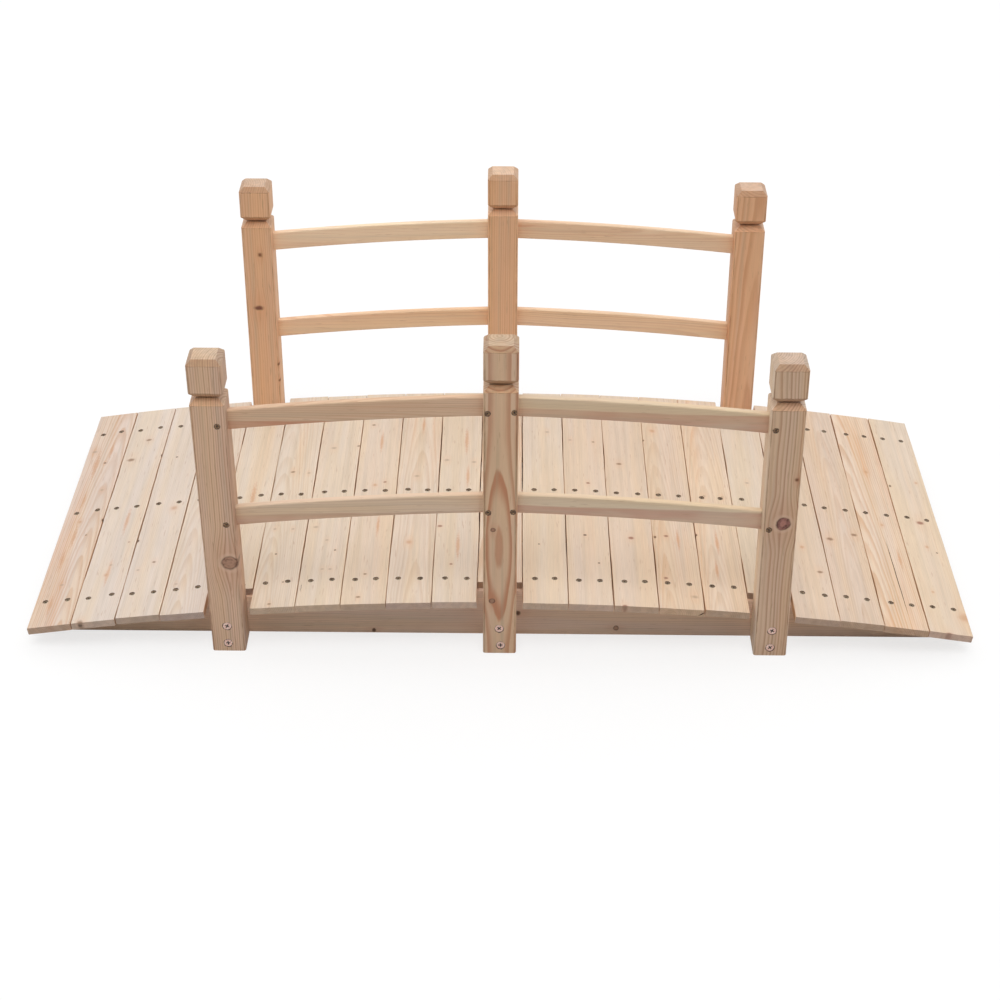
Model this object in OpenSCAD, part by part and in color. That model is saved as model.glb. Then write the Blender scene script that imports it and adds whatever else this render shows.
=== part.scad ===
// Small arched garden footbridge in plain softwood, sizes in millimetres.
// X runs along the bridge, Y across it, Z up. The origin is on the ground under the middle of the deck.

/* [Deck] */
// Number of boards across the deck, an odd number so that one lies at the crown
board_count = 21; // [17:2:29]
// Width of one deck board, along the bridge
board_w = 71.3; // [60:0.1:90]
// Gap between two boards at the deck's upper face
board_gap = 1.2; // [0.8:0.1:6]
// Thickness of a deck board
board_t = 12; // [9:0.5:20]
// Radius of a deck board's eased long edges
board_edge_r = 1; // [0.5:0.25:3]
// Length of a full board, which is the width of the deck
deck_w = 680; // [620:5:900]
// How far a short board's end stays back from the outer stringer's face
short_board_inset = 5; // [2:1:15]

/* [Stringers] */
// Radius of the stringers' arched upper edge
stringer_r = 4910; // [4200:10:7000]
// Height of a stringer at the crown
stringer_h = 85; // [75:1:120]
// Thickness of a stringer
stringer_t = 38; // [28:1:50]
// Distance from the bridge's middle line to the middle of an outer stringer
stringer_y = 269; // [240:1:290]
// How far a stringer's end stays back from the deck's end
stringer_inset = 12; // [5:1:40]

/* [Posts] */
// Side of a post's square section
post_s = 53; // [44:1:60]
// Radius of a post's eased upright edges
post_edge_r = 4; // [1:0.5:6]
// Height of an end post
end_post_h = 527; // [440:1:700]
// How much taller the middle posts are
middle_post_extra = 26.5; // [10:0.5:50]
// How many boards an end post stands away from the crown
post_board_step = 6; // [4:1:7]
// Height of the post head, from the lower edge of its groove to the top
head_h = 75; // [60:1:95]
// Depth of the right-angled groove round the post head
groove_d = 10.5; // [6:0.5:15]
// Height of the narrow slot at the bottom of the groove
slot_h = 2.8; // [1:0.2:4]
// How much deeper than the groove the slot goes
slot_d = 5; // [1:0.5:6]
// Size of the chamfer round the post's top
top_chamfer = 8; // [3:0.5:15]

/* [Rails] */
// Height of a rail's section
rail_h = 33; // [25:1:45]
// Thickness of a rail
rail_t = 12; // [9:0.5:20]
// Radius of a rail's eased edges
rail_edge_r = 2.5; // [1:0.25:4]
// Radius of a rail's arch, along the middle of its section
rail_r = 4900; // [3500:50:8000]
// Distance from a post's top down to the middle of its top rail
rail_drop = 110; // [100:1:140]
// Distance between the middles of the top rail and the lower rail
rail_spacing = 172.5; // [120:0.5:200]
// How far a rail's end goes into a post
tenon_l = 19; // [10:1:21]
// Clearance round a rail's end in its mortise
mortise_clear = 0.3; // [0.1:0.1:1]

/* [Hidden] */
SMOOTH = 1440;
FINE = 48;
EPS = 1;

middle_board = (board_count + 1) / 2;
deck_r = stringer_r + board_t;
board_pitch = (board_w + board_gap) / deck_r * 180 / PI;
curve_z = stringer_h - stringer_r;
end_board_turn = (board_count - 1) / 2 * board_pitch;
deck_end_x = deck_r * sin(end_board_turn) + board_w / 2 * cos(end_board_turn);
stringer_half = deck_end_x - stringer_inset;
stringer_face_y = stringer_y + stringer_t / 2;
short_board_l = 2 * (stringer_face_y - short_board_inset);
post_y = stringer_face_y + post_s / 2;
post_x = deck_r * sin(post_board_step * board_pitch);
middle_post_h = end_post_h + middle_post_extra;

// A rail's middle line meets the posts' side faces at these two points
rail_near = [post_s / 2, middle_post_h - rail_drop];
rail_far = [post_x - post_s / 2, end_post_h - rail_drop];
rail_chord = norm(rail_far - rail_near);
rail_tilt = atan2(rail_near[1] - rail_far[1], rail_far[0] - rail_near[0]);
rail_sweep = 2 * asin(rail_chord / 2 / rail_r);
rail_centre_d = sqrt(pow(rail_r, 2) - pow(rail_chord / 2, 2));
rail_centre = (rail_near + rail_far) / 2 - rail_centre_d * [sin(rail_tilt), cos(rail_tilt)];

SIDES = ["front", "rear"];
ROWS = ["front", "middle", "rear"];
PLACES = ["left", "middle", "right"];
BAYS = ["left", "right"];
LEVELS = ["top", "lower"];
function board_name(i) = str("deck_board_", i < 10 ? "0" : "", i);

// A rectangle with rounded corners, its middle at the origin
module rounded_rect(w, h, r) {
    square([w - 2 * r, h], center = true);
    square([w, h - 2 * r], center = true);
    for (sx = [-1, 1], sy = [-1, 1])
        translate([sx * (w / 2 - r), sy * (h / 2 - r)])
            circle(r = r, $fn = FINE);
}

// Boards 1 to board_count run from left to right, square to the arch
module deck_board(i) {
    step = i - middle_board;
    is_short = step == 0 || abs(step) == post_board_step;
    board_l = is_short ? short_board_l : deck_w;
    color("burlywood")
        translate([0, 0, curve_z])
            rotate([0, step * board_pitch, 0])
                translate([0, 0, stringer_r + board_t / 2])
                    rotate([90, 0, 0])
                        linear_extrude(height = board_l, center = true)
                            rounded_rect(board_w, board_t, board_edge_r);
}

// A plank on edge with a flat foot and an arched upper edge
module stringer(y) {
    color("rosybrown")
        translate([0, y, 0])
            rotate([90, 0, 0])
                linear_extrude(height = stringer_t, center = true)
                    intersection() {
                        translate([-stringer_half, 0])
                            square([2 * stringer_half, stringer_h + EPS]);
                        translate([0, curve_z])
                            circle(r = stringer_r, $fn = SMOOTH);
                    }
}

// A square bar turned on edge, which cuts a right-angled groove or chamfer of depth d
module corner_bar(d) {
    rotate([45, 0, 0])
        cube([2 * post_s, d * sqrt(2), d * sqrt(2)], center = true);
}

// A flat bar that cuts a slot of height h and depth d
module slot_bar(d, h) {
    cube([2 * post_s, 2 * d, h], center = true);
}

// The same cut on the four sides of a post, at height z
module four_side_cut(z) {
    for (turn = [0:90:270])
        rotate([0, 0, turn])
            translate([0, post_s / 2, z])
                children();
}

// A rail of the right-hand bay, from post to post, grown by clear for its mortise
module rail_body(drop, clear) {
    tenon_turn = (tenon_l + clear) / rail_r * 180 / PI;
    sweep = rail_sweep + 2 * tenon_turn;
    translate([rail_centre[0], 0, rail_centre[1] - drop])
        rotate([90, 0, 0])
            rotate([0, 0, 90 - rail_tilt - sweep / 2])
                rotate_extrude(angle = sweep, $fn = SMOOTH)
                    translate([rail_r, 0])
                        rounded_rect(rail_h + 2 * clear, rail_t + 2 * clear, rail_edge_r + clear);
}

// side is -1 at the front and 1 at the rear, bay is -1 on the left and 1 on the right
module rail(side, bay, drop, clear) {
    translate([0, side * post_y, 0])
        mirror([bay < 0 ? 1 : 0, 0, 0])
            rail_body(drop, clear);
}

// place is -1 at the left, 0 in the middle and 1 at the right
module post(side, place) {
    h = place == 0 ? middle_post_h : end_post_h;
    color("tan")
        difference() {
            translate([place * post_x, side * post_y, 0])
                difference() {
                    linear_extrude(height = h)
                        rounded_rect(post_s, post_s, post_edge_r);
                    four_side_cut(h - head_h + groove_d) {
                        corner_bar(groove_d);
                        slot_bar(groove_d + slot_d, slot_h);
                    }
                    four_side_cut(h)
                        corner_bar(top_chamfer);
                }
            for (bay = [-1, 1], drop = [0, rail_spacing])
                if (place == 0 || place == bay)
                    rail(side, bay, drop, mortise_clear);
        }
}

module coloured_rail(side, bay, drop) {
    color("sandybrown")
        rail(side, bay, drop, 0);
}

for (i = [1:board_count])
    deck_board(i);

for (row = [0:2])
    stringer((row - 1) * stringer_y);

for (side = [0, 1], place = [0:2])
    post(2 * side - 1, place - 1);

for (level = [0, 1], side = [0, 1], bay = [0, 1])
    coloured_rail(2 * side - 1, 2 * bay - 1, level * rail_spacing);
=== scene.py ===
import math
import random

import bmesh
import bpy
from mathutils import Matrix, Vector, noise
from mathutils.bvhtree import BVHTree


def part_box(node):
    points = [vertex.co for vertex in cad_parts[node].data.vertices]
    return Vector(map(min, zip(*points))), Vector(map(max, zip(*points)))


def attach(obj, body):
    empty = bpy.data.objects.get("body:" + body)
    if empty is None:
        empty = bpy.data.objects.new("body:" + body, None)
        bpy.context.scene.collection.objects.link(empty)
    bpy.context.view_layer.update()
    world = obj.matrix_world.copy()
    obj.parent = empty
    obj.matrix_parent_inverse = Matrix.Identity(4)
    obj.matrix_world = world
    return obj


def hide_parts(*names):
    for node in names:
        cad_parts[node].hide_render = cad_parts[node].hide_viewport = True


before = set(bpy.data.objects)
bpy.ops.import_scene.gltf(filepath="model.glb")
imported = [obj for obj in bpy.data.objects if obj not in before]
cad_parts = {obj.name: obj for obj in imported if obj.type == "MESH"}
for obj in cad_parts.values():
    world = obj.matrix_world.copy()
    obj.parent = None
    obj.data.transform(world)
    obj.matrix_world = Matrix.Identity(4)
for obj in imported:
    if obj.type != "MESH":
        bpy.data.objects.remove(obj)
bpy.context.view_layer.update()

MM = 0.001
IMAGE_PX = 1000
WHITE = (1.0, 1.0, 1.0, 1.0)
BOARD_COUNT = 21
BOARDS = [f"deck_board_{number:02d}" for number in range(1, BOARD_COUNT + 1)]
SIDES = ("front", "rear")
ROWS = ("front", "middle", "rear")
PLACES = ("left", "middle", "right")
BAYS = ("left", "right")
SHORT_BOARDS = ("deck_board_05", "deck_board_11", "deck_board_17")
LEVELS = ("top", "lower")

# The camera stands where the photograph was taken from
FOCAL_PX = 2009.7
SENSOR_MM = 36
CAMERA_AT = Vector((0.0126, -2.9398, 1.9400))
CAMERA_PITCH = math.radians(32.389)
CAMERA_HEADING = math.radians(0.289)
CAMERA_ROLL = math.radians(0.339)

# The world is a white studio, dim on the camera's side, with one wide soft lamp high above the front railing.
# SKY_LIGHT scales all of it. Away from its middle the lamp falls off with the power LAMP_FOCUS of the cosine
SKY_LIGHT = 1.03
LAMP_LIGHT = 6.4
LAMP_TOWARDS = (0.0, -0.407, 0.914)
LAMP_FOCUS = 24.0
CAMERA_SIDE_DIM = 0.85

# The floor: how much light it throws back on the object, how much of its shadow shows beside the object, with all
# of it under the object, and over which way in metres the one turns into the other. It lies just below the feet
FLOOR_REFLECTS = 0.55
FLOOR_SHADOW = 0.28
SHADOW_FADE = 0.03
FLOOR_HALF = 15.0
FLOOR_Z = -0.3 * MM

# Screws: (head radius, hole radius at the surface, how deep the head sits, recess half length), in mm
DECK_SCREW = (4.05, 4.7, 0.8, 1.9)
RAIL_SCREW = (4.2, 5.0, 0.7, 2.1)
FOOT_SCREW = (6.7, 7.7, 0.8, 4.2)
HOLE_DEPTH = 4.0
HEAD_THICK = 2.2
RECESS_DEPTH = 1.5
DECK_SCREW_APART = 35.0
FOOT_SCREW_HEIGHTS = (15.0, 48.0)

# Where the rails' screws stand on a post, in mm: to the right of its middle, and down from its top
RAIL_SCREW_SHIFTS = {"left": (13.0,), "middle": (-19.5, 19.5), "right": (-17.0,)}
RAIL_SCREW_DOWN = (109.0, 285.0)

# How far below a post's top the lower bevel of the groove is, in mm
GROOVE_BEVEL_DOWN = 69.8
# How far below a post's top the rims of its chamfer and groove are, in mm, and the painted shade along its edges
RIMS_DOWN = (8.0, 54.0, 75.0)
EDGE_PAINTED_SHADE = (0.62, 0.55, 0.5)

# How far each leaning post's top stands to the side, in mm
LEAN = {"post_front_left": -5.0, "post_front_right": -6.0, "post_rear_middle": -1.6, "post_rear_right": -3.2}

# A deck board's sides and ends wander, in mm: the length of one step along it, the limits of the wander, and the
# width beside its edge that moves. Its ends are out of square by a slope of up to END_SKEW
BOARD_STEP = 17.0
SIDE_WANDER = (-0.5, 0.45)
SIDE_ZONE = 3.0
END_WANDER = (0.1, 3.0)
END_SKEW = 0.006

# Drying cracks that the photograph shows: the two ends in the picture's pixels, width and depth in mm
CRACKS_IN_VIEW = (
    ((885, 538), (908.5, 616), 1.9, 4.0),
    ((302, 583), (300, 592), 0.9, 5.0),
    ((698, 616), (708, 611.5), 2.6, 6.0),
    ((247, 191), (256, 197), 0.7, 2.0),
)

# Knots that the photograph shows: x and y in the picture's pixels, radius in mm, kind.
# Their soft rims make them look smaller, so they are made larger by KNOT_GROWS
KNOT_GROWS = 1.25
KNOTS_IN_VIEW = (
    (74, 537, 2.6, "flame"), (108, 573, 2.4, "flame"), (96, 465, 3.2, "flame"), (127, 521, 2.6, "flame"),
    (424, 425, 2.0, "flame"), (467, 441, 2.8, "flame"), (468, 476, 2.2, "flame"), (382, 442, 2.2, "flame"),
    (717, 543, 2.2, "flame"), (717, 570, 2.0, "flame"), (678, 540, 2.0, "flame"), (253, 497, 3.2, "flame"),
    (112, 450, 2.2, "flame"), (84, 500, 2.0, "flame"), (62, 560, 2.4, "flame"), (50, 605, 2.2, "flame"),
    # The speck at (797, 480) marks a notch in a post's edge; its dark colour is painted shade
    (378, 525, 2.0, "flame"), (458, 545, 2.6, "flame"), (900, 560, 2.0, "flame"), (797, 480, 3.0, "speck"),
    (162, 456, 1.6, "nick"), (103, 520, 2.2, "nick"), (138, 541, 2.0, "nick"), (890, 486, 1.8, "nick"),
    (643, 441, 1.6, "nick"), (655, 537, 1.8, "nick"), (696, 535, 1.8, "nick"), (80, 626, 4.0, "nick"),
    (95, 452, 4.5, "grey"), (105, 463, 2.0, "dark"), (102, 490, 3.0, "grey"), (80, 522, 3.0, "orange"),
    (86, 535, 1.4, "dark"), (62, 585, 3.0, "grey"), (149, 440, 4.5, "brown"), (131, 460, 6.0, "brown"),
    (177, 457, 1.8, "dark"), (174, 508, 5.0, "orange"), (129, 542, 1.6, "red"), (111, 565, 2.6, "grey"),
    (106, 575, 3.4, "orange"), (138, 570, 2.6, "grey"), (154, 562, 3.0, "brown"), (176, 584, 2.4, "grey"),
    (80, 623, 4.0, "brown"), (293, 472, 3.4, "brown"), (309, 473, 2.6, "grey"), (334, 448, 4.0, "grey"),
    (359, 446, 3.0, "brown"), (374, 425, 3.0, "brown"), (417, 476, 4.0, "grey"), (375, 485, 3.4, "orange"),
    (385, 482, 2.6, "red"), (447, 460, 4.0, "grey"), (474, 462, 3.4, "grey"), (275, 529, 2.4, "grey"),
    (293, 529, 2.4, "grey"), (316, 527, 3.6, "grey"), (327, 540, 2.6, "grey"), (276, 554, 1.6, "dark"),
    (335, 550, 1.6, "dark"), (322, 569, 2.6, "grey"), (330, 569, 2.6, "grey"), (409, 542, 4.4, "orange"),
    (440, 526, 3.6, "red"), (451, 564, 2.4, "red"), (365, 574, 2.6, "brown"), (283, 582, 1.4, "dark"),
    (269, 604, 2.6, "brown"), (358, 597, 3.2, "brown"), (547, 432, 3.2, "grey"), (570, 440, 2.8, "grey"),
    (593, 442, 2.4, "brown"), (619, 464, 4.2, "brown"), (588, 483, 2.8, "red"), (652, 431, 4.2, "orange"),
    (704, 496, 2.8, "grey"), (722, 497, 2.4, "grey"), (747, 483, 3.2, "grey"), (539, 544, 1.4, "dark"),
    (585, 535, 2.4, "dark"), (631, 538, 4.2, "red"), (666, 536, 3.2, "red"), (599, 563, 1.6, "dark"),
    (666, 578, 3.0, "red"), (625, 606, 3.6, "red"), (695, 597, 4.6, "grey"), (866, 472, 3.4, "orange"),
    (916, 483, 2.6, "orange"), (830, 539, 5.0, "brown"), (854, 535, 4.6, "brown"), (882, 525, 2.6, "orange"),
    (920, 523, 5.6, "red"), (927, 547, 3.0, "orange"), (937, 553, 1.6, "dark"), (820, 572, 4.2, "brown"),
    (802, 547, 3.4, "orange"), (933, 592, 2.4, "orange"), (965, 618, 9.0, "orange"), (949, 636, 5.0, "red"),
    (230, 563, 11.0, "big"), (783, 524, 9.2, "heart"), (493, 530, 3.4, "ring"), (492, 601, 4.2, "ring"),
    (518, 613, 4.0, "dark"), (616, 628, 4.0, "ring"), (374, 630, 3.4, "dark"), (260, 255, 3.6, "speck"),
    (259, 308, 7.4, "branch"), (279, 364, 2.6, "speck"), (280, 380, 2.4, "speck"),
)

# A knot's display colours in the middle and at the rim, how strongly it shows, how soft its edge is,
# where its rim starts as a share of the radius, and how many times longer it is across than along
KNOT_KINDS = {
    "brown": ((150, 118, 92), (182, 148, 120), 0.85, 0.6, 0.35, 1.3),
    "grey": ((178, 152, 130), (196, 172, 150), 0.7, 0.8, 0.35, 1.3),
    "red": ((152, 104, 84), (186, 136, 112), 0.85, 0.6, 0.35, 1.2),
    "orange": ((200, 152, 116), (214, 170, 136), 0.65, 0.9, 0.35, 0.8),
    "flame": ((206, 156, 120), (218, 176, 142), 0.65, 0.6, 0.35, 0.08),
    "dark": ((92, 66, 52), (120, 88, 68), 0.95, 0.4, 0.35, 1.2),
    # A nick's dark colours are painted shade inside the chip
    "nick": ((96, 66, 48), (130, 94, 70), 0.9, 0.7, 0.35, 0.6),
    "big": ((192, 150, 126), (92, 58, 46), 0.92, 0.2, 0.62, 1.1),
    "heart": ((190, 132, 122), (92, 52, 48), 0.95, 0.15, 0.2, 1.0),
    "ring": ((178, 140, 118), (82, 54, 44), 1.0, 0.2, 0.45, 1.1),
    "speck": ((122, 74, 48), (186, 128, 90), 0.88, 0.8, 0.3, 1.0),
    "branch": ((112, 64, 54), (178, 120, 90), 0.9, 0.6, 0.5, 1.9),
}

# The kinds that have a blotched middle and a pale ring round them
LARGE_KNOTS = ("big", "heart")

# Display colours that all timber shares, and the two tints that a piece drifts between
GREY_STREAK = (200, 182, 158)
DARK_DASH = (186, 148, 118)
PALE_RING = (240, 208, 182)
DRIFT_TINTS = ((1.0, 0.975, 0.925, 1.0), (0.985, 0.995, 1.03, 1.0))

# How a pith may slope sideways, how far along a bow reaches in metres, and in mm how much the rings ripple and a
# band's edge wanders
SIDEWAYS_SLOPE = 0.006
BOW_REACH = 0.2
RIPPLE = 1.4
BAND_WANDER = 14.0

# The limits of an end's random tone and of its blue, and the painted shade on the short boards' ends, which lie
# beside the posts, in their shadow
END_LUCK = (0.86, 1.14)
END_LILAC = (0.96, 1.12)
SHORT_END_PAINTED_SHADE = 0.72


def linear(channel):
    """A display value from 0 to 255 as linear light."""
    value = channel / 255
    return value / 12.92 if value <= 0.04045 else ((value + 0.055) / 1.055) ** 2.4


def rgb(red, green, blue):
    """A display colour as linear light, with full alpha."""
    return (linear(red), linear(green), linear(blue), 1.0)


def camera_turn():
    """The camera's rotation: it looks down at the bridge, turned and rolled a little."""
    heading = Matrix.Rotation(CAMERA_HEADING, 3, "Z")
    pitch = Matrix.Rotation(math.pi / 2 - CAMERA_PITCH, 3, "X")
    roll = Matrix.Rotation(CAMERA_ROLL, 3, "Z")
    return heading @ pitch @ roll


def add_camera():
    data = bpy.data.cameras.new("camera")
    data.sensor_width = SENSOR_MM
    data.lens = SENSOR_MM * FOCAL_PX / IMAGE_PX
    camera = bpy.data.objects.new("camera", data)
    bpy.context.scene.collection.objects.link(camera)
    camera.matrix_world = Matrix.Translation(CAMERA_AT) @ camera_turn().to_4x4()
    bpy.context.scene.camera = camera


def ray_through(x_px, y_px):
    """The direction from the camera through a pixel of the photograph."""
    half = IMAGE_PX / 2
    return camera_turn() @ Vector((x_px - half, half - y_px, -FOCAL_PX)).normalized()


class Graph:
    """Adds shader nodes to one tree and links them."""

    def __init__(self, tree):
        self.tree = tree
        tree.nodes.clear()

    def node(self, kind, inputs, **settings):
        """Adds a node. An input that is a socket is linked, and any other is set."""
        made = self.tree.nodes.new("ShaderNode" + kind)
        for name, value in settings.items():
            setattr(made, name, value)
        for key, value in inputs.items():
            if isinstance(value, bpy.types.NodeSocket):
                self.tree.links.new(value, made.inputs[key])
            else:
                made.inputs[key].default_value = value
        return made

    def math(self, operation, *values):
        return self.node("Math", dict(enumerate(values)), operation=operation).outputs[0]

    def vector(self, operation, *values):
        made = self.node("VectorMath", dict(enumerate(values)), operation=operation)
        return made.outputs["Value" if operation in ("DOT_PRODUCT", "LENGTH") else "Vector"]

    def scaled(self, vector, factor):
        return self.node("VectorMath", {0: vector, 3: factor}, operation="SCALE").outputs[0]

    def noise(self, vector, stretch, detail=1.0):
        """Noise whose frequency along each axis is stretch, in 1/m."""
        place = self.vector("MULTIPLY", vector, stretch)
        inputs = {"Vector": place, "Scale": 1.0, "Detail": detail}
        return self.node("TexNoise", inputs).outputs[0]

    def smooth(self, value, low, high, start=0.0, end=1.0):
        """Goes smoothly from start to end as value goes from low to high. High may be below low."""
        inputs = {"Value": value, "From Min": low, "From Max": high, "To Min": start, "To Max": end}
        return self.node("MapRange", inputs, interpolation_type="SMOOTHSTEP").outputs[0]

    def mix(self, factor, first, second):
        """The first colour at factor 0, the second at factor 1."""
        made = self.node("Mix", {0: factor, 6: first, 7: second}, data_type="RGBA")
        return made.outputs[2]

    def shown(self):
        """1 for what the camera, a mirror or glass shows, and 0 for what lights the object."""
        path = self.node("LightPath", {})
        seen = self.math("MAXIMUM", path.outputs["Is Camera Ray"], path.outputs["Is Glossy Ray"])
        return self.math("MAXIMUM", seen, path.outputs["Is Transmission Ray"])


class Stick:
    """Where a piece of timber lies: its middle and the directions along, across and through it."""

    def __init__(self, node, along, deep):
        low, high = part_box(node)
        self.node = node
        self.middle = (low + high) / 2
        self.along = along.normalized()
        self.deep = deep.normalized()
        self.across = self.along.cross(self.deep).normalized()

    def local(self, point):
        """A point as lengths along, across and through the timber, from its middle."""
        offset = Vector(point) - self.middle
        return Vector((offset.dot(self.along), offset.dot(self.across), offset.dot(self.deep)))


def upper_normal(node):
    """The normal of the largest face that looks up."""
    faces = [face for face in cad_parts[node].data.polygons if face.normal.z > 0.5]
    return Vector(max(faces, key=lambda face: face.area).normal)


def chord(node):
    """The direction from the left end of a rail to its right end."""
    points = [vertex.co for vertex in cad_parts[node].data.vertices]
    low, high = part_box(node)
    margin = 2 * MM
    ends = []
    for x in (low.x, high.x):
        near = [point for point in points if abs(point.x - x) < margin]
        ends.append(sum(near, Vector()) / len(near))
    return ends[1] - ends[0]


def all_sticks():
    """Each node's stick, in the order in which the pieces are made."""
    x_axis = Vector((1, 0, 0))
    y_axis = Vector((0, 1, 0))
    z_axis = Vector((0, 0, 1))
    sticks = {}
    for node in BOARDS:
        sticks[node] = Stick(node, y_axis, upper_normal(node))
    for row in ROWS:
        node = f"stringer_{row}"
        sticks[node] = Stick(node, x_axis, y_axis)
    for side in SIDES:
        for place in PLACES:
            node = f"post_{side}_{place}"
            sticks[node] = Stick(node, z_axis, y_axis)
        for level in LEVELS:
            for bay in BAYS:
                node = f"{level}_rail_{side}_{bay}"
                sticks[node] = Stick(node, chord(node), y_axis)
    return sticks


class Surfaces:
    """Finds what the photograph shows at a pixel."""

    def __init__(self, sticks):
        self.trees = {}
        for node in sticks:
            mesh = bmesh.new()
            mesh.from_mesh(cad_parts[node].data)
            self.trees[node] = BVHTree.FromBMesh(mesh)
            mesh.free()

    def at(self, x_px, y_px):
        """The node, the point and the normal there. A pixel between two boards finds the nearest one."""
        for shift in (0, 1, -1, 2, -2):
            hits = []
            for node, tree in self.trees.items():
                point, normal, _, distance = tree.ray_cast(CAMERA_AT, ray_through(x_px + shift, y_px))
                if point is not None:
                    hits.append((distance, node, point, normal))
            if hits:
                return min(hits, key=lambda hit: hit[0])[1:]
        return None


def find_knots(surfaces, sticks):
    """The knots of each node, as (place in the stick, radius, kind)."""
    knots = {node: [] for node in sticks}
    for x_px, y_px, radius, kind in KNOTS_IN_VIEW:
        found = surfaces.at(x_px, y_px)
        if found:
            node, point, _ = found
            knots[node].append((sticks[node].local(point), radius * KNOT_GROWS * MM, kind))
    return knots


def find_cracks(surfaces):
    """The cracks of each node, as (start, end, normal, width, depth)."""
    cracks = {}
    for first, second, width, depth in CRACKS_IN_VIEW:
        found = surfaces.at(*first)
        if found:
            node, start, normal = found
            direction = ray_through(*second)
            reach = (start - CAMERA_AT).dot(normal) / direction.dot(normal)
            end = CAMERA_AT + direction * reach
            cracks.setdefault(node, []).append((start, end, normal, width * MM, depth * MM))
    return cracks


class Look:
    """Colours and growth of one kind of timber. Colours are display values and lengths are in mm.

    early, late and warm are the colours of early wood, of late wood and of warm zones. contrast and warmth say how
    strongly the last two show. ring is the width of a ring. pith_across, pith_deep and slope are the limits of the
    pith's place and slope. More may give: sway, how far the rings sway; rise and fade, the shares of a ring at
    which late wood begins and ends; grey and fibre, the strength of grey streaks and of fibres; band and band_from,
    the colour of a band along one side and where it begins; bow and bow_at, how far the pith bows and from where;
    and end_shade and the factors for sides and sloped cuts, which the colour of ends, sides and sloped cuts is
    multiplied by. The sides' factor is painted shading: painted shade where it is below 1 and painted light where
    it is above 1. The sloped cuts' factor is an end-grain tint with painted shade.
    """

    def __init__(self, early, late, warm, contrast, warmth, ring, pith_across, pith_deep, slope, **more):
        self.early = early
        self.late = late
        self.warm = warm
        self.contrast = contrast
        self.warmth = warmth
        self.ring = ring
        self.pith_across = pith_across
        self.pith_deep = pith_deep
        self.slope = slope
        self.sway = more.get("sway", 6.0)
        self.fade = more.get("fade", 0.9)
        self.rise = more.get("rise", 0.2)
        self.grey = more.get("grey", 0.2)
        self.end_shade = more.get("end_shade", (0.79, 0.84, 0.88))
        self.fibre = more.get("fibre", 0.16)
        self.band = more.get("band")
        self.band_from = more.get("band_from", 0.0)
        self.side_painted_shading = more.get("side_painted_shading")
        self.bevel_tint_and_shade = more.get("bevel_tint_and_shade")
        self.bow = more.get("bow", 0.0)
        self.bow_at = more.get("bow_at", 0.0)


# Colours and shades that several looks share: painted shade on the deck boards' sides, which darkens the seams;
# an end-grain tint with painted shade on the sloped cuts of a post's head; and the painted light that the groove's
# lower slope, under the head, and the slopes that look aside are multiplied by
DECK_EARLY = (225, 208, 188)
DECK_LATE = (208, 180, 150)
DECK_ENDS = (0.79, 0.7, 0.65)
DECK_SEAM_PAINTED_SHADE = (0.95, 0.77, 0.61)
POST_BEVEL_TINT_AND_SHADE = (0.8, 0.71, 0.63)
GROOVE_PAINTED_LIGHT = (1.3, 1.28, 1.26)
SIDE_BEVEL_PAINTED_LIGHT = (1.02, 1.14, 1.28)
DECK_PLAIN = Look(DECK_EARLY, DECK_LATE, (224, 192, 162), 0.35, 0.4, 2.3, (45, 90), (5, 50), (0.0, 0.02),
                  end_shade=DECK_ENDS, side_painted_shading=DECK_SEAM_PAINTED_SHADE, fibre=0.26)
DECK_ARCHED = Look(DECK_EARLY, DECK_LATE, (222, 184, 148), 0.5, 0.55, 3.0, (5, 30), (18, 45), (0.02, 0.05),
                   end_shade=DECK_ENDS, side_painted_shading=DECK_SEAM_PAINTED_SHADE, fibre=0.26)
DECK_WARM = Look((228, 208, 188), (210, 172, 138), (216, 168, 128), 0.75, 0.9, 2.8, (10, 35), (14, 40),
                 (0.02, 0.05), end_shade=DECK_ENDS, side_painted_shading=DECK_SEAM_PAINTED_SHADE, fibre=0.26)
# The front left post's sides are darkened with painted shade
POST_STRAIGHT = Look((242, 210, 181), (198, 149, 120), (216, 160, 130), 0.85, 0.6, 3.6, (45, 80), (5, 30),
                     (0.0, 0.012), rise=0.3, fade=0.85, fibre=0.2, grey=0.2, bevel_tint_and_shade=POST_BEVEL_TINT_AND_SHADE,
                     side_painted_shading=(0.86, 0.86, 0.88))
# The front right post's sides are lightened with painted light
POST_KNOTTY = Look((239, 208, 178), (198, 152, 122), (216, 160, 130), 0.85, 0.7, 4.0, (30, 50), (5, 20),
                   (0.0, 0.03), sway=14.0, rise=0.3, fade=0.86, grey=0.3, end_shade=(0.88, 0.92, 0.97),
                   bevel_tint_and_shade=POST_BEVEL_TINT_AND_SHADE, side_painted_shading=(1.2, 1.38, 1.54))
POST_ARCHED = Look((236, 208, 180), (204, 144, 112), (210, 146, 114), 0.95, 0.5, 5.4, (0, 4), (5.45, 5.45),
                   (0.0, 0.0), sway=2.5, rise=0.3, fade=0.88, grey=0.4, bow=7.3, bow_at=-77,
                   bevel_tint_and_shade=POST_BEVEL_TINT_AND_SHADE)
POST_REAR = Look((242, 198, 160), (218, 162, 123), (224, 162, 120), 0.65, 0.8, 4.0, (10, 60), (5, 40),
                 (0.0, 0.03), end_shade=(0.85, 0.95, 1.08), bevel_tint_and_shade=POST_BEVEL_TINT_AND_SHADE)
RAIL = Look((232, 208, 180), (210, 178, 150), (216, 168, 138), 0.5, 0.4, 2.4, (30, 60), (0, 30), (0.0, 0.01),
            band=(214, 174, 148), band_from=-4.0)
RAIL_TOP_LEFT = Look((228, 202, 174), (206, 170, 142), (212, 164, 134), 0.6, 0.6, 3.0, (10, 30), (10, 30),
                     (0.02, 0.04), band=(210, 158, 130), band_from=-10.0)
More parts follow.
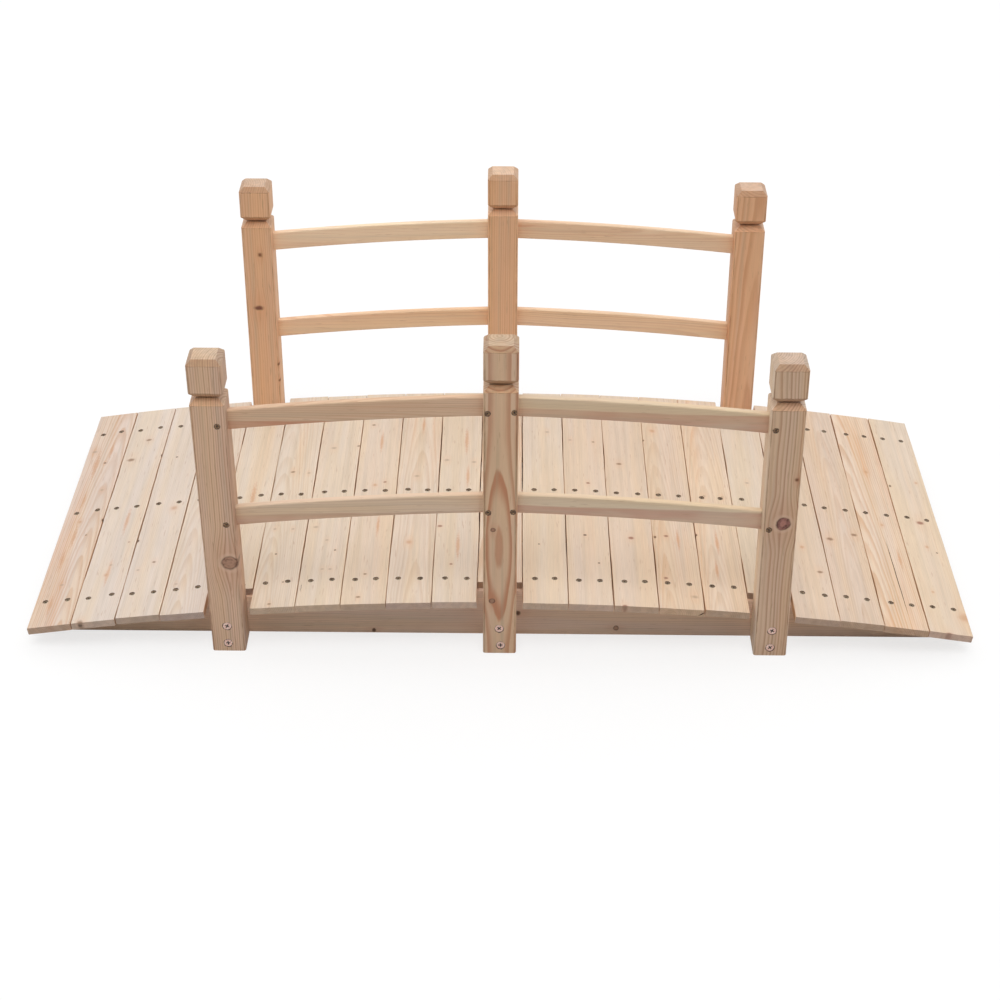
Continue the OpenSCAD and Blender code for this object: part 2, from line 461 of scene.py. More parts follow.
RAIL_REAR = Look((234, 206, 176), (212, 172, 140), (218, 168, 134), 0.6, 0.7, 2.8, (10, 40), (5, 30), (0.0, 0.03))
RAIL_HALVED = Look((232, 210, 180), (210, 180, 150), (216, 168, 138), 0.5, 0.3, 2.4, (30, 60), (0, 30),
                   (0.0, 0.01), band=(212, 166, 141), band_from=7.0)
STRINGER = Look((232, 202, 180), (200, 166, 144), (206, 160, 134), 0.5, 0.5, 3.5, (30, 90), (5, 60), (0.0, 0.02))


def squareness(graph, normal, direction):
    """How squarely a surface looks along a direction or against it, from 0 to 1."""
    return graph.math("ABSOLUTE", graph.vector("DOT_PRODUCT", normal, direction))


def off_level(graph, stick, along, down):
    """How far a place on a post is from a level, which is stated in mm below the post's top."""
    low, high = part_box(stick.node)
    level = (high.z - low.z) / 2 - down * MM
    return graph.math("ABSOLUTE", graph.math("SUBTRACT", along, level))


def knot_spots(graph, local, field, knots):
    """The place that the rings are drawn from, which the knots push aside, and the measures of each knot."""
    flow = local
    spots = []
    for place, radius, kind in knots:
        *_, stretch = KNOT_KINDS[kind]
        is_large = kind in LARGE_KNOTS
        reach = graph.vector("SUBTRACT", local, place)
        oval = graph.vector("MULTIPLY", reach, (stretch, 1.0, 0.25))
        ragged = (1.3 / radius, 1.3 / radius, 1.3 / radius)
        wobble = graph.math("SUBTRACT", graph.noise(field, ragged, 3.0), 0.5)
        distance = graph.vector("LENGTH", oval)
        distance = graph.math("MULTIPLY_ADD", wobble, radius * (1.6 if kind == "flame" else 0.45), distance)
        long_oval = graph.vector("MULTIPLY", reach, (0.6 if is_large else 0.45, 1.0, 0.25))
        near = graph.smooth(graph.vector("LENGTH", long_oval), radius * (3.4 if is_large else 2.6), radius * 0.5)
        if kind != "flame":
            push = graph.scaled(graph.vector("MULTIPLY", reach, (0.0, -0.6, -0.6)), near)
            flow = graph.vector("ADD", flow, push)
        spots.append((distance, near, wobble, radius, kind))
    return flow, spots


def late_wood(graph, look, luck, flow, field, along):
    """How late in its year the wood is, from 0 to 1, in rings round a pith that luck places."""
    heart = 1 if look.bow else luck.choice((-1, 1))
    pith_across = luck.choice((-1, 1)) * luck.uniform(*look.pith_across) * MM
    pith_deep = heart * luck.uniform(*look.pith_deep) * MM
    slope_deep = heart * luck.uniform(*look.slope)
    slope_across = luck.uniform(-SIDEWAYS_SLOPE, SIDEWAYS_SLOPE)
    from_bow = graph.math("ABSOLUTE", graph.math("SUBTRACT", along, look.bow_at * MM))
    bow = graph.smooth(from_bow, 0.0, BOW_REACH, 0.0, look.bow * MM)
    pith = graph.node("CombineXYZ", {
        0: along,
        1: graph.math("MULTIPLY_ADD", along, slope_across, pith_across),
        2: graph.math("ADD", graph.math("MULTIPLY_ADD", along, slope_deep, pith_deep), bow),
    }).outputs[0]
    radial = graph.vector("LENGTH", graph.vector("SUBTRACT", flow, pith))
    sway = graph.math("SUBTRACT", graph.noise(field, (4, 14, 14), 1.0), 0.5)
    ripple = graph.math("SUBTRACT", graph.noise(field, (14, 80, 80), 2.0), 0.5)
    radial = graph.math("MULTIPLY_ADD", sway, look.sway * MM, radial)
    radial = graph.math("MULTIPLY_ADD", ripple, RIPPLE * MM, radial)
    count = graph.math("DIVIDE", radial, look.ring * MM)
    phase = graph.math("FRACT", count)
    index = graph.math("FLOOR", count)
    year = graph.node("TexWhiteNoise", {"W": index}, noise_dimensions="1D").outputs["Value"]
    late = graph.math("MULTIPLY", graph.smooth(phase, look.rise, 0.8), graph.smooth(phase, 1.0, look.fade))
    return graph.math("MULTIPLY", late, graph.math("MULTIPLY_ADD", year, 0.7, 0.3))


def clear_wood(graph, look, field, across, late, fibre):
    """The colour between the knots: rings, warm zones, a band, grey streaks, drifting tints and fibres."""
    streak = graph.noise(field, (2.5, 120, 120), 3.0)
    mottle = graph.noise(field, (7, 18, 18), 2.0)
    patch = graph.noise(field, (2.0, 30, 30), 2.0)

    colour = graph.mix(graph.math("MULTIPLY", late, look.contrast), rgb(*look.early), rgb(*look.late))
    warm_zone = graph.smooth(patch, 0.48, 0.74, 0.0, look.warmth)
    warm_zone = graph.math("MULTIPLY", warm_zone, graph.math("MULTIPLY_ADD", late, 0.6, 0.4))
    colour = graph.mix(warm_zone, colour, rgb(*look.warm))
    if look.band:
        cloud = graph.noise(field, (4, 60, 60), 3.0)
        edge = graph.math("MULTIPLY_ADD", graph.math("SUBTRACT", cloud, 0.5), BAND_WANDER * MM, across)
        band = graph.smooth(edge, (look.band_from + 1) * MM, (look.band_from - 2) * MM)
        patches = graph.noise(field, (9, 40, 40), 2.0)
        band = graph.math("MULTIPLY", band, graph.smooth(patches, 0.3, 0.66, 0.45, 0.95))
        colour = graph.mix(band, colour, rgb(*look.band))
    grey = graph.smooth(streak, 0.5, 0.72, 0.0, look.grey)
    colour = graph.mix(grey, colour, rgb(*GREY_STREAK))
    drift = graph.smooth(graph.noise(field, (2.0, 34, 34), 2.0), 0.36, 0.64)
    colour = graph.vector("MULTIPLY", colour, graph.mix(drift, *DRIFT_TINTS))
    shade = graph.math("MULTIPLY_ADD", graph.math("SUBTRACT", fibre, 0.5), look.fibre, 1.0)
    shade = graph.math("MULTIPLY_ADD", graph.math("SUBTRACT", mottle, 0.5), 0.12, shade)
    shade = graph.math("MULTIPLY_ADD", graph.math("SUBTRACT", streak, 0.5), -0.14, shade)
    colour = graph.scaled(colour, shade)
    dashes = graph.smooth(graph.noise(field, (36, 420, 420), 1.0), 0.66, 0.76, 0.0, 0.4)
    return graph.mix(dashes, colour, rgb(*DARK_DASH))


def knotted(graph, look, field, spots, colour, height):
    """The colour and the height of the bumps with the knots drawn in."""
    for distance, near, wobble, radius, kind in spots:
        middle, rim, strength, softness, rim_start, _ = KNOT_KINDS[kind]
        halo = graph.math("MULTIPLY", near, 0.3)
        colour = graph.mix(halo, colour, rgb(*look.warm))
        body = graph.smooth(distance, radius * (1.05 + softness / 2), radius * (1 - softness), 0.0, strength)
        rings = graph.math("SINE", graph.math("MULTIPLY", distance, 15 / radius))
        rim_shows = graph.smooth(wobble, -0.14, 0.08, 0.35, 1.0)
        ringed = graph.math("MULTIPLY_ADD", rings, 0.12, graph.smooth(distance, rim_start * radius, radius))
        ringed = graph.math("MULTIPLY", ringed, rim_shows)
        if kind in LARGE_KNOTS:
            blotch = graph.noise(field, (150, 150, 150), 2.0)
            ringed = graph.math("ADD", ringed, graph.smooth(blotch, 0.46, 0.7, 0.0, 0.55))
            ringed = graph.math("MINIMUM", ringed, 1.0)
            pale = graph.smooth(distance, radius * 1.7, radius * 1.25, 0.0, 0.5)
            colour = graph.mix(pale, colour, rgb(*PALE_RING))
        knot = graph.mix(ringed, rgb(*middle), rgb(*rim))
        colour = graph.mix(body, colour, knot)
        height = graph.math("MULTIPLY_ADD", body, -0.4, height)
    return colour, height


def end_grain(graph, stick, look, luck, field, late, colour):
    """The colour of the stick's sawn ends, with painted shade on the short boards' ends."""
    end_tone_and_shade = luck.uniform(*END_LUCK)
    # The short boards' ends get painted shade in place of a random tone
    if stick.node in SHORT_BOARDS:
        end_tone_and_shade = SHORT_END_PAINTED_SHADE
    lilac = luck.uniform(*END_LILAC)
    red, green, blue = look.end_shade
    end_shade = (red * end_tone_and_shade, green * end_tone_and_shade, blue * end_tone_and_shade * lilac)
    end_tint = graph.vector("MULTIPLY", graph.mix(0.4, colour, rgb(*look.early)), end_shade)
    patches = graph.smooth(graph.noise(field, (60, 110, 110), 2.0), 0.3, 0.7, 0.93, 1.07)
    return graph.scaled(graph.scaled(end_tint, patches), graph.math("MULTIPLY_ADD", late, -0.12, 1.0))


def head_cuts(graph, stick, look, along, end_on, aside, colour):
    """Paints shade and an end-grain tint on a head's slopes, and light on the groove's lower slope and side slopes.
    """
    slope = graph.math("MULTIPLY", graph.smooth(end_on, 0.45, 0.6), graph.smooth(end_on, 0.95, 0.8))
    off = off_level(graph, stick, along, GROOVE_BEVEL_DOWN)
    groove_light = graph.mix(graph.smooth(off, 9 * MM, 6 * MM), WHITE, (*GROOVE_PAINTED_LIGHT, 1))
    cut = graph.vector("MULTIPLY", graph.vector("MULTIPLY", colour, look.bevel_tint_and_shade), groove_light)
    pale = graph.mix(graph.smooth(aside, 0.3, 0.6), WHITE, (*SIDE_BEVEL_PAINTED_LIGHT, 1))
    return graph.mix(slope, colour, graph.vector("MULTIPLY", cut, pale))


def painted_edge_shade(graph, stick, field, along, end_on, aside, colour):
    """Paints patchy shade on a post's edges: the start of its eased corners and the rims of its chamfer and groove.
    """
    painted_lines = graph.math("MULTIPLY", graph.smooth(aside, 0.06, 0.25), graph.smooth(aside, 0.7, 0.45))
    upright = graph.smooth(end_on, 0.3, 0.1)
    for down in RIMS_DOWN:
        off = off_level(graph, stick, along, down)
        rim = graph.math("MULTIPLY", graph.smooth(off, 1.3 * MM, 0.4 * MM), upright)
        painted_lines = graph.math("MAXIMUM", painted_lines, rim)
    patchy = graph.smooth(graph.noise(field, (30, 90, 90), 2.0), 0.36, 0.62, 0.3, 1.0)
    dark = graph.mix(graph.math("MULTIPLY", painted_lines, patchy), WHITE, (*EDGE_PAINTED_SHADE, 1))
    return graph.vector("MULTIPLY", colour, dark)


def timber(stick, look, knots, luck):
    """A wood material that follows the stick: rings round a pith, fibres, knots and end grain."""
    material = bpy.data.materials.new(f"{stick.node}_wood")
    material.use_nodes = True
    graph = Graph(material.node_tree)
    coordinates = graph.node("TexCoord", {})
    normal = coordinates.outputs["Normal"]
    offset = graph.vector("SUBTRACT", coordinates.outputs["Object"], stick.middle)
    along = graph.vector("DOT_PRODUCT", offset, stick.along)
    across = graph.vector("DOT_PRODUCT", offset, stick.across)
    deep = graph.vector("DOT_PRODUCT", offset, stick.deep)
    local = graph.node("CombineXYZ", {0: along, 1: across, 2: deep}).outputs[0]
    seed = Vector((luck.uniform(-50, 50), luck.uniform(-50, 50), luck.uniform(-50, 50)))
    field = graph.vector("ADD", local, seed)

    flow, spots = knot_spots(graph, local, field, knots)
    late = late_wood(graph, look, luck, flow, field, along)
    fibre = graph.noise(field, (20, 700, 700), 3.0)
    colour = clear_wood(graph, look, field, across, late, fibre)
    height = graph.math("MULTIPLY_ADD", fibre, 0.5, graph.math("MULTIPLY", late, 0.35))
    colour, height = knotted(graph, look, field, spots, colour, height)

    end_on = squareness(graph, normal, stick.along)
    ends = end_grain(graph, stick, look, luck, field, late, colour)
    colour = graph.mix(graph.smooth(end_on, 0.5, 0.9), colour, ends)
    if stick.node.startswith("post"):
        aside = squareness(graph, normal, stick.across)
        # Painted shade and painted light on the sloped cuts of the post's head
        colour = head_cuts(graph, stick, look, along, end_on, aside, colour)
        # Painted shade along the post's edges
        colour = painted_edge_shade(graph, stick, field, along, end_on, aside, colour)
    # Painted shading on the sides: shade in the deck boards' seams and on the front left post, light on the front
    # right post
    if look.side_painted_shading:
        sides = graph.smooth(squareness(graph, normal, stick.across), 0.5, 0.9)
        colour = graph.mix(sides, colour, graph.vector("MULTIPLY", colour, look.side_painted_shading))
    if stick.node in TONES:
        colour = graph.vector("MULTIPLY", colour, TONES[stick.node])

    rough = graph.math("MULTIPLY_ADD", late, -0.12, graph.math("MULTIPLY_ADD", fibre, 0.12, 0.62))
    bump = graph.node("Bump", {"Strength": 0.35, "Distance": 0.4 * MM, "Height": height})
    shader = graph.node("BsdfPrincipled", {
        "Base Color": colour,
        "Roughness": rough,
        "Specular IOR Level": 0.3,
        "Normal": bump.outputs[0],
    })
    graph.node("OutputMaterial", {0: shader.outputs[0]})
    return material


def metal(name, colour, tarnish, metallic):
    """A mottled material: plated steel with its tarnish, or painted shade in recesses and, as dark wood, in holes.
    """
    material = bpy.data.materials.new(name)
    material.use_nodes = True
    graph = Graph(material.node_tree)
    place = graph.node("TexCoord", {}).outputs["Object"]
    cloud = graph.noise(place, (420, 420, 420), 3.0)
    grain = graph.noise(place, (3000, 3000, 3000), 2.0)
    tint = graph.mix(graph.smooth(cloud, 0.35, 0.65), rgb(*colour), rgb(*tarnish))
    rough = graph.math("MULTIPLY_ADD", cloud, 0.3, 0.28)
    bump = graph.node("Bump", {"Strength": 0.2, "Distance": 0.1 * MM, "Height": grain})
    shader = graph.node("BsdfPrincipled", {
        "Base Color": tint,
        "Metallic": metallic,
        "Roughness": rough,
        "Normal": bump.outputs[0],
    })
    graph.node("OutputMaterial", {0: shader.outputs[0]})
    return material


def new_object(name, mesh):
    made = bpy.data.objects.new(name, mesh)
    bpy.context.scene.collection.objects.link(made)
    return made


def mesh_from(shape, name):
    mesh = bpy.data.meshes.new(name)
    shape.to_mesh(mesh)
    shape.free()
    return mesh


def carved(body, cutter, cutter_crosses_itself=False):
    """The mesh of body with cutter taken out of it. Both objects are removed."""
    modifier = body.modifiers.new("cut", "BOOLEAN")
    modifier.operation = "DIFFERENCE"
    modifier.solver = "EXACT" if cutter_crosses_itself else "MANIFOLD"
    modifier.use_self = cutter_crosses_itself
    modifier.object = cutter
    bpy.context.view_layer.update()
    result = bpy.data.meshes.new_from_object(body.evaluated_get(bpy.context.evaluated_depsgraph_get()))
    bpy.data.objects.remove(body)
    bpy.data.objects.remove(cutter)
    return result


def cone_into(shape, place, low_radius, high_radius, depth, sides, ragged=0.0, luck=None):
    """Adds a closed cone to shape, its wide end at z = 0 before place moves it, its narrow end at -depth.

    With ragged, luck moves each corner of the wide end in or out by up to that share.
    """
    made = bmesh.ops.create_cone(
        shape, cap_ends=True, segments=sides, radius1=low_radius, radius2=high_radius, depth=depth,
        matrix=Matrix.Translation((0, 0, -depth / 2)))
    for vertex in made["verts"]:
        if ragged and vertex.co.z > -depth / 2:
            grow = 1 + luck.uniform(-ragged, ragged)
            vertex.co.x *= grow
            vertex.co.y *= grow
    bmesh.ops.transform(shape, matrix=place, verts=made["verts"])


def screw_head(name, head_radius, recess_half):
    """A countersunk head with a cross recess. Its flat top is at z = 0."""
    shape = bmesh.new()
    cone_into(shape, Matrix.Identity(4), head_radius * 0.5, head_radius, HEAD_THICK * MM, sides=28)
    head = new_object("head", mesh_from(shape, "head"))
    cross = bmesh.new()
    arm = recess_half * 0.46
    for turn in (0, math.pi / 2):
        made = bmesh.ops.create_cube(cross, size=1.0)
        for vertex in made["verts"]:
            taper = 1.0 if vertex.co.z > 0 else 0.45
            vertex.co.x *= 2 * recess_half * taper
            vertex.co.y *= arm * (1.0 if vertex.co.z > 0 else 0.7)
            vertex.co.z = 0.5 * MM if vertex.co.z > 0 else -RECESS_DEPTH * MM
        bmesh.ops.rotate(cross, verts=made["verts"], cent=(0, 0, 0), matrix=Matrix.Rotation(turn, 3, "Z"))
    cutter = new_object("cross", mesh_from(cross, "cross"))
    mesh = carved(head, cutter, cutter_crosses_itself=True)
    mesh.name = name
    # The recess's faces get the second material, a nearly black painted shade
    for face in mesh.polygons:
        inside = face.center.xy.length < recess_half
        face.material_index = int(inside and -1.05 * RECESS_DEPTH * MM < face.center.z < -0.01 * MM)
    return mesh


def facing(point, normal, turn=0.0):
    """A placement at point whose own z axis looks along normal."""
    tilt = Vector(normal).to_track_quat("Z", "Y").to_matrix().to_4x4()
    return Matrix.Translation(point) @ tilt @ Matrix.Rotation(turn, 4, "Z")


class Fasteners:
    """Gathers the screws of one kind and, for each node, the holes that they stand in."""

    def __init__(self, name, sizes, materials):
        self.name = name
        self.head_radius, self.hole_radius, self.sunk, self.recess = [size * MM for size in sizes]
        self.materials = materials
        self.places = []

    def add(self, holes, node, point, normal, luck):
        """Places a screw in the node's surface, turned and tilted by luck, and its hole."""
        turn = luck.uniform(0, math.pi)
        sunk = self.sunk + luck.uniform(-0.2, 0.3) * MM
        askew = Vector(normal) + Vector((luck.uniform(-0.05, 0.05), luck.uniform(-0.05, 0.05), 0))
        self.places.append(facing(point - Vector(normal) * sunk, askew, turn))
        holes.setdefault(node, []).append((facing(point, normal, turn), self.hole_radius))

    def build(self):
        """Makes one piece of all the screws."""
        head = screw_head(self.name, self.head_radius, self.recess)
        shape = bmesh.new()
        for place in self.places:
            count = len(shape.verts)
            shape.from_mesh(head)
            shape.verts.ensure_lookup_table()
            bmesh.ops.transform(shape, matrix=place, verts=shape.verts[count:])
        made = new_object(self.name, mesh_from(shape, self.name))
        for material in self.materials:
            made.data.materials.append(material)
        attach(made, "root")


def lean_at(node, height):
    """How far a post has moved aside at a height above the ground."""
    low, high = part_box(node)
    return LEAN.get(node, 0.0) * MM * height / high.z


def deck_screws(sticks, screws, holes, luck):
    """Places two screws a board over each stringer."""
    for node in BOARDS:
        stick = sticks[node]
        top = max(stick.local(vertex.co).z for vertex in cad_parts[node].data.vertices)
        for row in ROWS:
            low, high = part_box(f"stringer_{row}")
            row_y = (low.y + high.y) / 2
            for side in (-1, 1):
                across = (side * DECK_SCREW_APART / 2 + luck.uniform(-2.0, 2.0)) * MM
                along = row_y - stick.middle.y + luck.uniform(-2.5, 2.5) * MM
                point = stick.middle + stick.along * along + stick.across * across + stick.deep * top
                screws.add(holes, node, point, stick.deep, luck)


def post_screws(foot, rail, holes, luck):
    """Places two screws at each post's foot and one at each rail's end, on the posts' outer faces."""
    for side in SIDES:
        outward = Vector((0, -1 if side == "front" else 1, 0))
        for place in PLACES:
            node = f"post_{side}_{place}"
            low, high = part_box(node)
            face_y = low.y if side == "front" else high.y
            middle_x = (low.x + high.x) / 2
            for height in FOOT_SCREW_HEIGHTS:
                x = middle_x + luck.uniform(-1.5, 1.5) * MM
                foot.add(holes, node, Vector((x, face_y, height * MM)), outward, luck)
            for down in RAIL_SCREW_DOWN:
                for shift in RAIL_SCREW_SHIFTS[place]:
                    x = middle_x + (shift + luck.uniform(-1, 1)) * MM
                    z = high.z - (down + luck.uniform(-1.5, 1.5)) * MM
                    rail.add(holes, node, Vector((x + lean_at(node, z), face_y, z)), outward, luck)


def uneven(shape, stick, luck):
    """Lets a deck board's long sides wander and its ends stand a little back, out of square."""
    places = [stick.local(vertex.co) for vertex in shape.verts]
    half_along = max(place.x for place in places)
    half_across = max(place.y for place in places)
    steps = round(2 * half_along / (BOARD_STEP * MM))
    for step in range(1, steps):
        middle = stick.middle + stick.along * (2 * step / steps - 1) * half_along
        everything = shape.verts[:] + shape.edges[:] + shape.faces[:]
        bmesh.ops.bisect_plane(shape, geom=everything, plane_co=middle, plane_no=stick.along)
    seed = luck.uniform(0, 1000)
    low, high = SIDE_WANDER
    if stick.node in (BOARDS[0], BOARDS[-1]):
        low = 0.0
    backs = {side: luck.uniform(*END_WANDER) * MM for side in (-1, 1)}
    skews = {side: luck.uniform(-END_SKEW, END_SKEW) for side in (-1, 1)}
    for vertex in shape.verts:
        place = stick.local(vertex.co)
        side = 1 if place.y > 0 else -1
        nearness = min(1.0, max(0.0, (abs(place.y) - half_across + SIDE_ZONE * MM) / (SIDE_ZONE * MM)))
        slow = noise.noise(Vector((place.x * 6, seed + side * 7, 0)))
        quick = noise.noise(Vector((place.x * 28, seed + side * 7, 5)))
        wander = (low + high) / 2 + (slow * 1.7 + quick * 0.6) * (high - low)
        wander = min(high, max(low, wander)) * MM
        vertex.co -= stick.across * side * nearness * wander
        end = 1 if place.x > 0 else -1
        if abs(place.x) > half_along - 0.5 * MM:
            back = backs[end] + (place.y * end + half_across) * abs(skews[end])
            vertex.co -= stick.along * end * back


def nick_into(shape, point, stick, radius, luck):
    """Adds a ragged lump to shape, which chips a board's edge."""
    made = bmesh.ops.create_icosphere(shape, subdivisions=2, radius=1.0)
    for vertex in made["verts"]:
        size = radius * luck.uniform(0.75, 1.15)
        offset = vertex.co * size
        vertex.co = (point + stick.along * offset.x * 1.9 + stick.across * offset.y * 0.6
                     + stick.deep * offset.z * 0.7)


def crack_into(shape, crack, luck):
    """Adds a closed sliver to shape, which opens a drying crack."""
    start, end, normal, width, depth = crack
    across = normal.cross(end - start).normalized()
    steps = 10
    rows = []
    for step in range(steps + 1):
        share = step / steps
        opened = math.sin(math.pi * (0.03 + 0.94 * share)) * luck.uniform(0.7, 1.0)
        middle = start.lerp(end, share) + across * luck.uniform(-0.25, 0.25) * MM
        side = across * width / 2 * opened
        top = normal * 0.4 * MM
        points = (middle + side + top, middle - side + top, middle - normal * depth * opened)
        rows.append([shape.verts.new(point) for point in points])
    for first, second in zip(rows, rows[1:]):
        for a, b in ((0, 1), (1, 2), (2, 0)):
            shape.faces.new((first[a], first[b], second[b], second[a]))
    shape.faces.new(rows[0])
    shape.faces.new(rows[-1])


def dressed(node, stick, holes, knots, cracks, luck):
    """A copy of the node that stands for it: uneven or leaning, with its screw holes, nicks and cracks."""
    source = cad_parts[node]
    base = bmesh.new()
    base.from_mesh(source.data)
    bmesh.ops.remove_doubles(base, verts=base.verts, dist=0.001 * MM)
    if node.startswith("deck"):
        uneven(base, stick, luck)
    else:
        lean = lean_at(node, 1.0)
        for vertex in base.verts:
            vertex.co.x += lean * vertex.co.z
    body = new_object("body", mesh_from(base, "body"))
    shape = bmesh.new()
    for crack in cracks:
        crack_into(shape, crack, luck)
    for place, radius in holes:
        cone_into(shape, place @ Matrix.Translation((0, 0, 0.05 * MM)), radius * 0.55, radius,
                  HOLE_DEPTH * MM, sides=18, ragged=0.08, luck=luck)
    # The walls of the holes and cracks get the second material, a dark painted shade
    for face in shape.faces:
        face.material_index = 1
    for place, radius, kind in knots:
        if kind == "nick":
            point = stick.middle + stick.along * place.x + stick.across * place.y + stick.deep * place.z
            nick_into(shape, point, stick, radius, luck)
    bmesh.ops.recalc_face_normals(shape, faces=shape.faces)
    cutter = new_object("holes", mesh_from(shape, "holes"))
    for part in (body, cutter):
        for _ in range(2):
            part.data.materials.append(None)
    mesh = carved(body, cutter)
    made = new_object(f"{node}_drilled", mesh)
    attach(made, "root")
    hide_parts(node)
    return made


def give(piece, wood, hole_and_crack_shade):
    """Gives a piece its wood, and a drilled piece also the painted shade on the walls of its holes and cracks."""
    slots = piece.data.materials
    if len(slots) == 2:
        slots[0] = wood
        slots[1] = hole_and_crack_shade
    else:
        slots.clear()
        slots.append(wood)


LOOKS = {
    "deck_board_01": DECK_WARM, "deck_board_11": DECK_WARM, "deck_board_20": DECK_WARM,
    "deck_board_04": DECK_ARCHED, "deck_board_06": DECK_ARCHED, "deck_board_09": DECK_ARCHED,
    "deck_board_15": DECK_ARCHED, "deck_board_16": DECK_ARCHED, "deck_board_19": DECK_ARCHED,
    "post_front_middle": POST_ARCHED, "post_front_right": POST_KNOTTY,
    "top_rail_front_right": RAIL_HALVED, "lower_rail_front_right": RAIL_HALVED,
    "top_rail_front_left": RAIL_TOP_LEFT, "top_rail_rear_left": RAIL_REAR, "top_rail_rear_right": RAIL_REAR,
    "lower_rail_rear_left": RAIL_REAR, "lower_rail_rear_right": RAIL_REAR,
}

# The looks by what a node's name starts with. The last entry takes the rest
LOOKS_BY_START = (("deck", DECK_PLAIN), ("post_front", POST_STRAIGHT), ("post_rear", POST_REAR),
                  ("stringer", STRINGER), ("", RAIL))

# What each piece's colour is multiplied by
TONES = {
    "post_front_left": (0.9, 0.86, 0.83), "post_front_middle": (0.915, 0.845, 0.785),
    "post_front_right": (0.86, 0.83, 0.795), "post_rear_left": (0.98, 0.98, 0.97),
    "post_rear_middle": (0.97, 0.96, 0.93), "post_rear_right": (0.94, 0.92, 0.92),
    "top_rail_front_left": (1.0, 0.94, 0.92), "lower_rail_front_left": (1.0, 0.97, 0.96),
    "top_rail_rear_left": (1.22, 1.26, 1.24), "top_rail_rear_right": (1.1, 1.11, 1.14),
    "lower_rail_rear_left": (1.15, 1.14, 1.12), "lower_rail_rear_right": (1.12, 1.1, 1.1),
    "stringer_front": (1.14, 1.15, 1.13), "deck_board_01": (0.93, 0.93, 0.97),
    "deck_board_02": (0.97, 0.985, 1.045), "deck_board_03": (0.97, 0.985, 1.045),
    "deck_board_04": (0.97, 0.985, 1.045),
    "deck_board_08": (1.0, 0.98, 0.97), "deck_board_09": (1.0, 0.98, 0.97),
    "deck_board_13": (1.0, 0.97, 0.965), "deck_board_14": (1.0, 0.95, 0.915),
    "deck_board_15": (0.99, 0.94, 0.91), "deck_board_16": (1.03, 0.975, 0.93),
    "deck_board_18": (0.97, 0.92, 0.895), "deck_board_19": (0.95, 0.89, 0.865),
    "deck_board_20": (0.99, 0.965, 0.94), "deck_board_21": (0.99, 0.965, 0.94),
}


def by_start(node, table):
    """The first entry of a table that the node's name starts with."""
    return next(entry for start, entry in table if node.startswith(start))


def add_floor():
    """A white floor that keeps the object's shadow, and throws less light back than it shows."""
    mesh = bpy.data.meshes.new("floor")
    half = FLOOR_HALF
    corners = [(-half, -half, FLOOR_Z), (half, -half, FLOOR_Z), (half, half, FLOOR_Z), (-half, half, FLOOR_Z)]
    mesh.from_pydata(corners, [], [(0, 1, 2, 3)])
    floor = new_object("floor", mesh)
    material = bpy.data.materials.new("floor")
    material.use_nodes = True
    graph = Graph(material.node_tree)
    dim = graph.node("BsdfDiffuse", {"Color": (FLOOR_REFLECTS, FLOOR_REFLECTS, FLOOR_REFLECTS, 1)})
    lit = graph.node("BsdfDiffuse", {"Color": WHITE})
    white = graph.node("Emission", {"Color": WHITE, "Strength": 1.0})
    place = graph.node("SeparateXYZ", {0: graph.node("TexCoord", {}).outputs["Object"]})
    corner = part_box("stringer_rear")[1]
    under = 1.0
    for axis in (0, 1):
        beside = graph.math("ABSOLUTE", place.outputs[axis])
        under = graph.math("MULTIPLY", under, graph.smooth(beside, corner[axis], corner[axis] - SHADOW_FADE))
    shadow = graph.math("MULTIPLY_ADD", under, 1 - FLOOR_SHADOW, FLOOR_SHADOW)
    pale = graph.node("MixShader", {0: shadow, 1: white.outputs[0], 2: lit.outputs[0]})
    both = graph.node("MixShader", {0: graph.shown(), 1: dim.outputs[0], 2: pale.outputs[0]})
    graph.node("OutputMaterial", {0: both.outputs[0]})
    floor.data.materials.append(material)


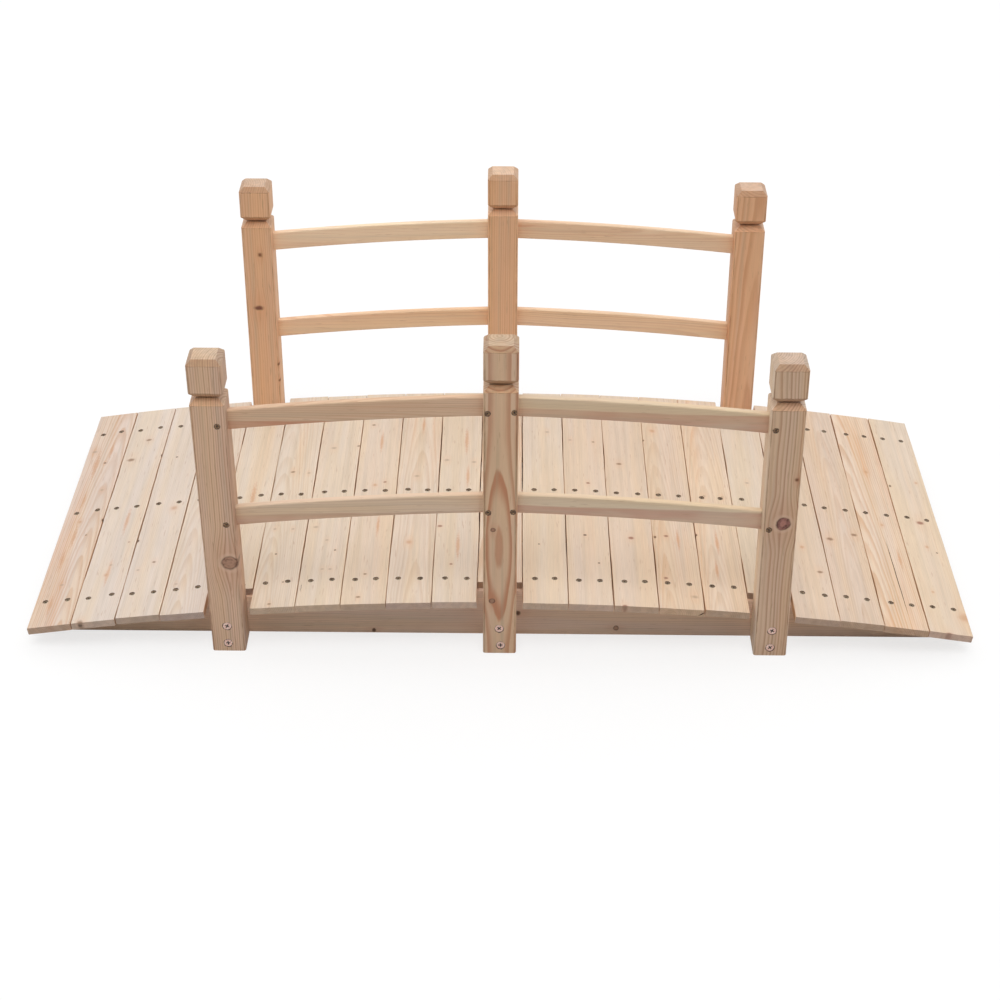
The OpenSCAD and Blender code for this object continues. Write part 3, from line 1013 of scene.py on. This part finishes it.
def add_sky():
    """The light of the world, which itself shows as white."""
    world = bpy.data.worlds.new("sky")
    bpy.context.scene.world = world
    world.use_nodes = True
    graph = Graph(world.node_tree)
    direction = graph.node("TexCoord", {}).outputs["Generated"]
    parts = graph.node("SeparateXYZ", {0: direction})
    towards_lamp = graph.math("MAXIMUM", graph.vector("DOT_PRODUCT", direction, LAMP_TOWARDS), 0.0)
    lamp = graph.math("POWER", towards_lamp, LAMP_FOCUS)
    behind = graph.smooth(parts.outputs[1], 0.4, -0.5, 1.0, 1 - CAMERA_SIDE_DIM)
    light = graph.math("MULTIPLY_ADD", lamp, LAMP_LIGHT, behind)
    light = graph.math("MULTIPLY", light, SKY_LIGHT)
    glow = graph.node("Background", {"Color": WHITE, "Strength": light})
    white = graph.node("Background", {"Color": WHITE, "Strength": 1.0})
    both = graph.node("MixShader", {0: graph.shown(), 1: glow.outputs[0], 2: white.outputs[0]})
    graph.node("OutputWorld", {0: both.outputs[0]})


def main():
    add_camera()
    add_floor()
    add_sky()
    bpy.context.scene.view_settings.view_transform = "Standard"

    sticks = all_sticks()
    surfaces = Surfaces(sticks)
    knots = find_knots(surfaces, sticks)
    cracks = find_cracks(surfaces)
    luck = random.Random(21)
    dull_steel = metal("dull_steel", (152, 130, 102), (88, 70, 52), 0.2)
    brown_steel = metal("brown_steel", (160, 124, 88), (72, 50, 36), 0.1)
    pale_steel = metal("pale_steel", (255, 226, 212), (236, 188, 172), 0.1)
    # Painted shade: nearly black in the screws' cross recesses, dark wood on the walls of holes and cracks
    recess_painted_shade = metal("recess_painted_shade", (34, 22, 18), (20, 14, 12), 0.0)
    hole_and_crack_shade = metal("hole_and_crack_shade", (112, 82, 62), (74, 52, 40), 0.0)
    on_deck = Fasteners("deck_screws", DECK_SCREW, (dull_steel, recess_painted_shade))
    at_rails = Fasteners("rail_screws", RAIL_SCREW, (brown_steel, recess_painted_shade))
    at_feet = Fasteners("foot_screws", FOOT_SCREW, (pale_steel, recess_painted_shade))
    holes = {}
    deck_screws(sticks, on_deck, holes, luck)
    post_screws(at_feet, at_rails, holes, luck)
    for screws in (on_deck, at_rails, at_feet):
        screws.build()

    for node, stick in sticks.items():
        look = LOOKS.get(node) or by_start(node, LOOKS_BY_START)
        material = timber(stick, look, knots[node], luck)
        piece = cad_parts[node]
        if node in holes:
            piece = dressed(node, stick, holes[node], knots[node], cracks.get(node, ()), luck)
        give(piece, material, hole_and_crack_shade)


main()
